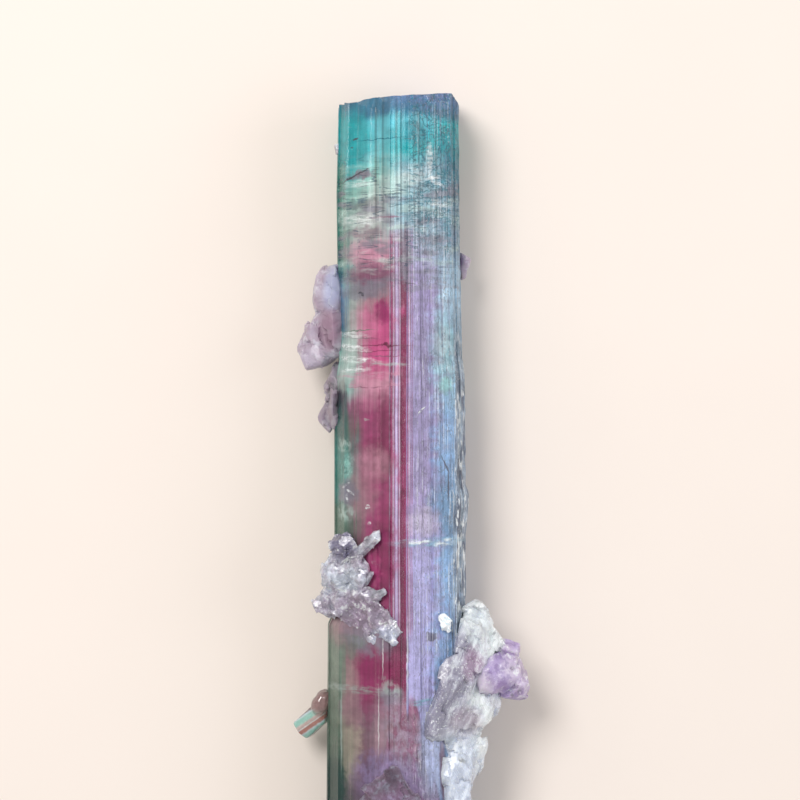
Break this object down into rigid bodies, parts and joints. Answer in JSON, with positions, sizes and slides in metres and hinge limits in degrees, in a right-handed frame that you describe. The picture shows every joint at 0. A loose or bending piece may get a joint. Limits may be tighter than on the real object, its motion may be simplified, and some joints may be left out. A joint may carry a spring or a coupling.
{
  "type": "tourmaline crystal specimen",
  "caption": "Long striated watermelon tourmaline prism with a pink core, green rim and teal tip, lying on its back, with lilac, white and glassy minerals grown on its sides.",
  "frame": {"origin": "middle of the flat back face that the crystal rests on", "axes": "+Y along the crystal towards its natural tip, +X to the right seen from the front, +Z out of the front face"},
  "size_m": [0.033, 0.1152, 0.0173],
  "materials": {
    "tourmaline": "vitreous, striated along its length",
    "side_tourmaline": "vitreous",
    "lepidolite": "pearly, rough",
    "quartz": "vitreous, cloudy",
    "albite": "satin"
  },
  "bodies": {
    "root": {"tourmaline_crystal": "tourmaline", "side_tourmaline": "side_tourmaline", "upper_left_lepidolite": "lepidolite", "middle_left_lepidolite": "lepidolite", "front_left_quartz": "quartz", "right_albite_blades": "albite", "right_lepidolite": "lepidolite", "lower_front_lepidolite": "lepidolite", "right_edge_chip": "lepidolite", "tip_chip": "quartz", "albite_fleck": "albite"}
  },
  "joints": []
}
